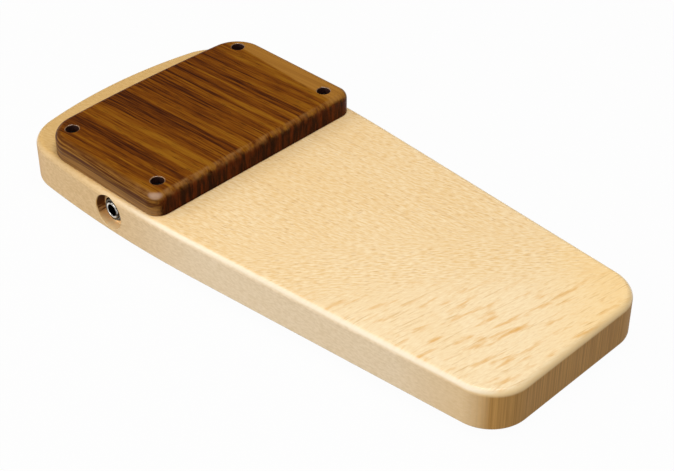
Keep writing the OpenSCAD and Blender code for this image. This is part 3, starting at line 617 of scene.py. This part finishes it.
# The board: straight tapered flanks that bow out to the widest place, an arched back, all in tangent arcs
boardShape = {"length": 323, "frontWidth": 109, "backWidth": 146.5, "wideSetback": 80.5, "low": 4,
              "high": 26.5, "frontCorner": 21, "backCorner": 26.5, "sideBow": 695, "backArch": 252,
              "topRound": 3.5, "bottomRound": 1, "recess": 9.6, "recessDepth": 5.7, "recessEase": 0.4,
              "recessCore": 0.5, "recessStart": -3, "rim": 0.6, "bushingHole": 4.9, "bushingRun": (-6, 2),
              "chamber": (-63.547, 68.0, -33.547, 93.0), "chamberFloor": 8.0, "cutter": 4,
              "channel": (-35, 84.1, 0, 92.1), "channelFloor": 21.5,
              "pocket": (0, 90.25), "pocketRadius": 15, "pocketFloor": 18.5,
              "plateScrewHole": 1.8, "plateScrewEnd": 14.3,
              "footScrewHole": 1.55, "footScrewStart": 3, "footScrewEnd": 11.8, "clear": 1, "margin": 0.1,
              "hair": 0.02}  # the solid's arcs are chords, so the skin stays a hair inside
edgeSteps = 6


def boardOutline(inset):
    b = boardShape
    inset += b["hair"]
    front, back = -b["length"] / 2, b["length"] / 2
    bow = Vector((b["backWidth"] / 2 - b["sideBow"], back - b["wideSetback"]))
    arch = Vector((0, back - b["backArch"]))
    ray = Vector((b["frontWidth"] / 2, front)) - bow
    taper = direction(ray) + math.acos(b["sideBow"] / ray.length)
    frontCentre = Vector((b["frontWidth"] / 2, front)) + b["frontCorner"] * Vector(
        (-(1 + math.sin(taper)) / math.cos(taper), 1))
    # the back corner touches both the bow and the arch
    r1, r2, gap = b["sideBow"] - b["backCorner"], b["backArch"] - b["backCorner"], (arch - bow).length
    along = (r1 * r1 - r2 * r2 + gap * gap) / (2 * gap)
    e = (arch - bow) / gap
    h = math.sqrt(r1 * r1 - along * along)
    touching = [bow + along * e + s * h * Vector((-e.y, e.x)) for s in (1, -1)]
    backCentre = max(touching, key=lambda p: p.x + p.y)
    bowEnd, archEnd = direction(backCentre - bow), direction(backCentre - arch)
    return bothHalves([Vector((0, front + inset))]
                      + arc(frontCentre, b["frontCorner"] - inset, -math.pi / 2, taper, 24)
                      + arc(bow, b["sideBow"] - inset, taper, bowEnd, 40)
                      + arc(backCentre, b["backCorner"] - inset, bowEnd, archEnd, 24, True)
                      + arc(arch, b["backArch"] - inset, archEnd, math.pi / 2, 20, True))


def makeBoard():
    b = boardShape
    whole = slab(boardOutline, b["low"], b["high"], b["bottomRound"], b["topRound"])
    made = piece("board", (whole, [Matrix()]))
    r, rim, depth = b["recess"], b["rim"], b["recessDepth"]
    recess = [(r + rim, b["recessStart"])]
    recess += [(r + rim * (1 - math.sin(t)), rim * (1 - math.cos(t))) for t in quarter(edgeSteps)]
    recess += eased([(r, rim, 0), (r, depth, b["recessEase"]), (b["recessCore"], depth, 0)], closed=False)[1:]
    intoSide = shift(jackSpot["side"], jackSpot["y"], jackSpot["z"]) @ intoBoard
    chamber = eased([(x, y, b["cutter"]) for x, y in rectangle(*b["chamber"])], 8)
    above = b["high"] + b["clear"]
    holes = {
        "recessCutter": (turned(recess, 96), [intoSide]),
        "bushingCutter": (rod(b["bushingHole"], *b["bushingRun"], 64), [jackAxis]),
        "chamberCutter": (post(chamber, b["chamberFloor"], above), [Matrix()]),
        "channelCutter": (post(rectangle(*b["channel"]), b["channelFloor"], above), [Matrix()]),
        "pocketCutter": (rod(b["pocketRadius"], b["pocketFloor"], above, 96), standing([b["pocket"]])),
        "plateScrewCutter": (rod(b["plateScrewHole"], b["plateScrewEnd"], above, 32), standing(screwSpots)),
        "footScrewCutter": (rod(b["footScrewHole"], b["footScrewStart"], b["footScrewEnd"], 32),
                            standing(footSpots)),
    }
    carve(made, [piece(name, hole) for name, hole in holes.items()])

    def inRecess(at):
        return fromJack(at) < r + b["margin"] and jackSpot["side"] + rim < at.x < jackSpot["wall"]

    # the recess wall takes painted shade overhead and painted light below
    dress(made, "body", "beech", inner=[("boredBeechPaintedShade", inRecess)])


makeBoard()
print("board carved")


# The strike plate: a thick bow-backed slab, well rounded on top, with four counterbored holes
def plateOutline(inset):
    p = plateShape
    inset += p["hair"]
    half = p["width"] / 2
    backX = half - p["backCorner"]
    backCentre = Vector((backX, bowCentre.y + math.sqrt((p["backBow"] - p["backCorner"]) ** 2 - backX ** 2)))
    frontCentre = Vector((half - p["frontCorner"], p["front"] + p["frontCorner"]))
    bowStart = direction(backCentre - bowCentre)
    return bothHalves([Vector((0, p["front"] + inset))]
                      + arc(frontCentre, p["frontCorner"] - inset, -math.pi / 2, 0, 18)
                      + arc(backCentre, p["backCorner"] - inset, 0, bowStart, 24)
                      + arc(bowCentre, p["backBow"] - inset, bowStart, math.pi / 2, 16, True))


def makePlate():
    p = plateShape
    whole = slab(plateOutline, p["low"], p["high"], p["bottomEase"], p["topRound"])
    made = piece("strikePlate", (whole, [Matrix()]))
    r, mouth, high = p["boreRadius"], p["mouth"], p["high"]
    hole = [(p["shankHole"], p["low"] - p["clear"]), (p["shankHole"], p["seat"]), (r, p["seat"])]
    hole += [(r + mouth * (1 - math.cos(t)), high - mouth * (1 - math.sin(t))) for t in quarter(edgeSteps)]
    hole += [(r + mouth, high + p["clear"])]
    carve(made, [piece("boreCutter", (turned(hole), standing(screwSpots)))])

    def near(reach, below):
        def within(at):
            off = min(math.hypot(at.x - x, at.y - y) for x, y in screwSpots)
            return off < r + reach * mouth and at.z < high - below
        return within

    # the lips of the holes take a painted highlight, their walls painted shade
    dress(made, "strike_plate", "walnut", inner=[("lipPaintedHighlight", near(p["lipReach"], p["lipTop"])),
                                                 ("boredWalnutPaintedShade", near(p["boreReach"], p["boreTop"]))])


makePlate()
print("strike plate carved")

# Wood screws, head up with the seat at zero: domed head, cross recess, cut thread and a point
plateScrew = {"head": 3.25, "headHeight": 2.6, "headEdge": 0.7, "shank": 1.75, "threadDepth": 0.5,
              "pitch": 1.6, "length": 20, "point": 3, "recess": 1.75, "recessWidth": 0.75, "recessDepth": 1.5}
footScrew = {"head": 2.8, "headHeight": 1.5, "headEdge": 0.4, "shank": 1.5, "threadDepth": 0.42,
             "pitch": 1.3, "length": 10, "point": 2.5, "recess": 1.45, "recessWidth": 0.65,
             "recessDepth": 0.95}
screwForm = {"domeTurn": 84, "domeSteps": 10, "headEase": 0.15, "plain": 0.5, "threadStart": 0.6,
             "crest": 0.32, "tip": 0.12, "blunt": 0.2, "pointSteps": 12, "firstTurn": 25, "nextTurn": 47}
rowsPerTurn = 8


def woodScrew(s):
    f = screwForm
    r, core, rise = s["shank"], s["shank"] - s["threadDepth"], s["headHeight"] - s["headEdge"]
    angles = [math.radians(f["domeTurn"]) * k / f["domeSteps"] for k in range(f["domeSteps"] + 1)]
    dome = [(s["head"] * math.cos(t), s["headEdge"] + rise * math.sin(t)) for t in angles]
    edge = [(s["head"], f["headEase"]), (s["head"] - f["headEase"], 0), (r, 0), (r, -f["plain"])]
    run = s["length"] - s["point"] - f["threadStart"]
    rows = int(run / s["pitch"] * rowsPerTurn)
    thread = [(r, -f["threadStart"] - run * k / rows) for k in range(rows + 1)]
    shares = [k / f["pointSteps"] for k in range(1, f["pointSteps"] + 1)]
    pointed = [(r * (1 - t) + f["tip"] * t, -s["length"] + s["point"] * (1 - t)) for t in shares]

    def cut(radius, height, turn):
        if height > -f["threadStart"] or radius < f["blunt"]:
            return radius, height
        phase = (height / s["pitch"] - turn) % 1
        flank = max(0.0, 1 - abs(phase - 0.5) / f["crest"])  # a sharp crest over a wide root
        return (core + (r - core) * flank) * radius / r, height

    return turned(dome[::-1] + edge + thread + pointed, 40, shaped=cut)


# The two crossed wings of a driver's recess: shares of its length and width at three heights
def crossWings(s):
    top = s["headHeight"]
    levels = ((1.15, 1.0, top + 0.4), (1.0, 1.0, top - 0.1), (0.45, 0.75, top - s["recessDepth"]))

    def wing(a):
        c, n = math.cos(a), math.sin(a)
        rings = []
        for share, width, z in levels:
            x, y = s["recess"] * share, s["recessWidth"] * width / 2
            rings.append([(c * u - n * v, n * u + c * v, z) for u, v in rectangle(-x, -y, x, y)])
        return lofted(rings)

    return wing(0.0), wing(math.pi / 2)


def makeScrews(name, node, slot, s, places):
    made = piece(name, (woodScrew(s), places))
    angles = [math.radians(screwForm["firstTurn"] + screwForm["nextTurn"] * i) for i in range(len(places))]
    turns = [place @ Matrix.Rotation(angle, 4, "Z") for place, angle in zip(places, angles)]
    carve(made, [piece("wingCutter", (wing, turns)) for wing in crossWings(s)])
    dress(made, node, slot, crisp=40)


footShape = {"radius": 7, "draw": 0.6, "height": 4, "recess": 4, "recessDepth": 2.4, "hole": 1.7, "edge": 0.1,
             "washer": 3.6, "washerHole": 1.7, "washerThick": 0.6, "washerEdge": 0.15}
screwSeat = footShape["recessDepth"] - footShape["washerThick"]
headDown = Matrix.Rotation(math.pi, 4, "X")
makeScrews("plateScrews", "plate_screws", "black_steel", plateScrew, standing(screwSpots, plateShape["seat"]))
makeScrews("footScrews", "foot_screws", "zinc_steel", footScrew,
           [place @ headDown for place in standing(footSpots, screwSeat)])
print("screws cut")


# Moulded rubber feet with a washer let into each
def makeFeet():
    f = footShape
    r, top, edge = f["radius"], f["height"], f["edge"]
    puck = eased([(f["recess"], 0, 0.3), (r - 2 * f["draw"], 0, 0.5), (r - f["draw"], f["draw"], 0.4),
                  (r, top - edge, edge), (r - edge, top, 0), (f["hole"], top, 0),
                  (f["hole"], f["recessDepth"], 0), (f["recess"], f["recessDepth"], 0.25)])
    spots = standing(footSpots)
    dress(piece("rubberFeet", (turned(puck, 64, True), spots)), "feet", "rubber")
    ring = flatRing(f["washerHole"], f["washer"], screwSeat, f["recessDepth"], f["washerEdge"], 64)
    dress(piece("footWashers", (ring, spots)), "foot_washers", "zinc_steel")


makeFeet()
print("feet made")

# The jack's outer metal: threaded bushing with a clenched neck, chamfered hex nut and a flat washer
jackShape = {"bore": 3.25, "barrel": 4.7, "length": 7.4, "neck": 4, "frameThick": 1, "lip": 4.5,
             "lipThick": 0.6, "pitch": 0.8, "threadDepth": 0.3, "runOut": 0.9, "plain": 0.5,
             "mouthInset": 0.05, "mouthRun": 0.6, "boreRun": 2, "boreMargin": 0.02,
             "flats": 12, "nutThick": 2, "nutSteps": 144, "nutHole": 4.75, "nutEase": 0.3, "nutTurn": 12,
             "brokenCorner": 0.12, "faceInset": 0.15, "outerDrop": 0.5, "innerDrop": 0.3,
             "washer": 7, "washerHole": 4.9, "washerThick": 0.6, "washerEdge": 0.2, "web": 4}


def makeBushing():
    j = jackShape
    bore, barrel, runOut = j["bore"], j["barrel"], j["runOut"]
    low, seat, end = -j["length"], j["frameThick"], j["frameThick"] + j["lipThick"]
    rows = int((j["length"] - runOut) / j["pitch"] * rowsPerTurn)
    thread = [(barrel, low + runOut / 2 + (j["length"] - runOut) * k / rows) for k in range(rows + 1)]
    rim = barrel - j["mouthInset"]
    mouth = eased([(bore, low + j["boreRun"], 0), (bore, low, 0.4), (rim, low, 0.8),
                   (rim, low + j["mouthRun"], 0)], edgeSteps, closed=False)
    tail = eased([(barrel, -0.4, 0), (barrel, 0, 0.1), (j["neck"], 0, 0), (j["neck"], seat, 0),
                  (j["lip"], seat, 0.1), (j["lip"], end, 0.35), (bore, end, 0.3), (bore, 0, 0)],
                 5, closed=False)

    def cut(r, h, turn):
        if not math.isclose(r, barrel) or h > -j["plain"]:
            return r, h
        crest = abs((h / j["pitch"] - turn) % 1 - 0.5) * 2
        fade = min(1, (h - low) / runOut, -h / runOut)
        return r - j["threadDepth"] * (1 - crest) * max(0, fade), h

    made = piece("jackBushing", (turned(mouth + thread + tail, 72, True, cut), [jackAxis]))

    def inBore(at):
        return fromJack(at) < bore + j["boreMargin"]

    # the bore of the bushing takes painted shade
    dress(made, "jack_bushing", "nickel", inner=[("nickelBorePaintedShade", inBore)])


# The hexagon with its corners just broken, turned down to a round face at both sides
def makeNut():
    j = jackShape
    across, hole, ease = j["flats"] / 2, j["nutHole"], j["nutEase"]
    high = -j["web"] - j["washerThick"]
    low = high - j["nutThick"]
    widest = across / math.cos(math.pi / 6) - j["brokenCorner"]
    faceR = across - j["faceInset"]
    rings = [[] for _ in range(8)]
    for k in range(j["nutSteps"]):
        a = 2 * math.pi * k / j["nutSteps"]
        spread = (a % (math.pi / 3)) - math.pi / 6
        hexR = min(across / math.cos(spread), widest)
        outer, inner = (hexR - faceR) * j["outerDrop"], (hexR - faceR) * j["innerDrop"]
        profile = [(hole, low + ease), (hole + ease, low), (faceR, low), (hexR, low + outer),
                   (hexR, high - inner), (faceR, high), (hole + ease, high), (hole, high - ease)]
        for ring, (r, h) in zip(rings, profile):
            ring.append((r * math.cos(a), r * math.sin(a), h))
    turn = Matrix.Rotation(math.radians(j["nutTurn"]), 4, "Z")
    made = piece("jackNut", (lofted(rings, True), [jackAxis @ turn]))
    # the nut takes the dulled plating with painted shade
    dress(made, "jack_nut", "nickel", crisp=22, finish="dulledNickelPaintedShade")


def makeJackWasher():
    j = jackShape
    high = -j["web"]
    ring = flatRing(j["washerHole"], j["washer"], high - j["washerThick"], high, j["washerEdge"], 96)
    dress(piece("jackWasher", (ring, [jackAxis])), "jack_washer", "nickel", finish="dulledNickelPaintedShade")


makeBushing()
makeNut()
makeJackWasher()
print("jack metal turned")

# Soft pieces inside: the sticky disc and the foam that backs the pickup, swollen at mid height by pressure
softShape = {"centre": (0, 90.25), "core": 0.4,
             "tape": 13.5, "tapeLow": 26.0, "tapeHigh": 26.5, "tapeWaist": 0.15, "tapeRows": 8,
             "foam": 6, "foamLow": 18.5, "foamHigh": 25.45, "foamWaist": 0.35, "foamRows": 16}


def swollen(kind, steps):
    s = softShape
    low, rows = s[kind + "Low"], s[kind + "Rows"]
    side = [(s[kind] - s[kind + "Waist"] * (1 - math.sin(math.pi * k / rows)),
             low + (s[kind + "High"] - low) * k / rows) for k in range(rows + 1)]
    return turned([(s["core"], low)] + side + [(s["core"], s[kind + "High"])], steps)


def makeSoft():
    spot = standing([softShape["centre"]])
    disc = piece("adhesiveDisc", (swollen("tape", 96), spot))
    dress(disc, "piezo_tape", "adhesive_foam")
    pad = piece("backingFoam", (swollen("foam", 64), spot))
    dress(pad, "foam_pad", "backing_foam")


makeSoft()
print("soft pieces made")

# Solids whose shape is right already take their finish as they are
keptSolids = {"jack_frame": "dulledNickelPaintedShade", "jack_insulators": "fibre", "jack_rivets": "brass",
              "tip_lug": "brass", "ground_lug": "brass", "tip_contact": "brass", "piezo_disc": "brass",
              "piezo_ceramic": "silvered_ceramic", "hot_lead": "red_wire", "ground_lead": "black_wire",
              "solder_joints": "solder"}
for node, slot in keptSolids.items():
    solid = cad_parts[node]
    solid.data.materials.clear()
    solid.data.materials.append(finishes[slot])
print("kept solids finished:", len(keptSolids))

# Plain soft studio: a wide lamp overhead, a softbox on the left, a strip behind for the edge, a dim room
studio = {
    "overhead": {"from": (0, 84), "distance": 1.2, "size": (0.75, 0.75), "roll": 0, "power": 9.4},
    "left": {"from": (264, 24), "distance": 1.3, "size": (0.8, 0.8), "roll": 0, "power": 5.3},
    "edge": {"from": (227, 35), "distance": 1.3, "size": (1.2, 0.24), "roll": 118, "power": 2.8},
    "room": 0.2, "floorColour": "#BDBBB7", "floorWhite": 0.97, "floorReach": 4.0, "floorSides": 64,
}


def makeStudio():
    scene = bpy.context.scene
    for name in ("overhead", "left", "edge"):
        s = studio[name]
        lamp = bpy.data.lights.new(name, "AREA")
        lamp.shape, lamp.energy = "ELLIPSE", s["power"]
        lamp.size, lamp.size_y = s["size"]
        setUp(lamp, target + seenFrom(*s["from"]) * s["distance"], target, s["roll"])
    scene.world = bpy.data.worlds.new("room")
    scene.world.use_nodes = True
    sky = scene.world.node_tree.nodes["Background"]
    sky.inputs["Color"].default_value = linear("#FFFFFF")
    sky.inputs["Strength"].default_value = studio["room"]
    reach, sides = studio["floorReach"], studio["floorSides"]
    angles = [2 * math.pi * k / sides for k in range(sides)]
    ring = [(reach * math.cos(a), reach * math.sin(a), 0.0) for a in angles]
    shape = bpy.data.meshes.new("floor")
    shape.from_pydata(ring, [], [list(range(sides))])
    floor = bpy.data.objects.new("floor", shape)
    scene.collection.objects.link(floor)
    # painted board: matt and near white, lifted to white where it is looked at, with the shadow kept
    paint = bpy.data.materials.new("paintedFloor")
    paint.use_nodes = True
    tree = paint.node_tree
    tree.nodes.remove(tree.nodes["Principled BSDF"])
    rays = put(tree, "LightPath").outputs
    seen = put(tree, "Math", (rays["Is Camera Ray"], rays["Is Glossy Ray"]), operation="MAXIMUM")
    seen = put(tree, "Math", (seen, rays["Is Transmission Ray"]), operation="MAXIMUM")
    share = put(tree, "Math", (seen, studio["floorWhite"]), operation="MULTIPLY")
    matt = put(tree, "BsdfDiffuse", {"Color": studio["floorColour"]})
    white = put(tree, "Emission", {"Color": "#FFFFFF", "Strength": 1.0})
    lifted = put(tree, "MixShader", (share, matt, white))
    tree.links.new(lifted.outputs[0], tree.nodes["Material Output"].inputs["Surface"])
    shape.materials.append(paint)
    scene.view_settings.view_transform = "Standard"


makeStudio()
print("studio lit")
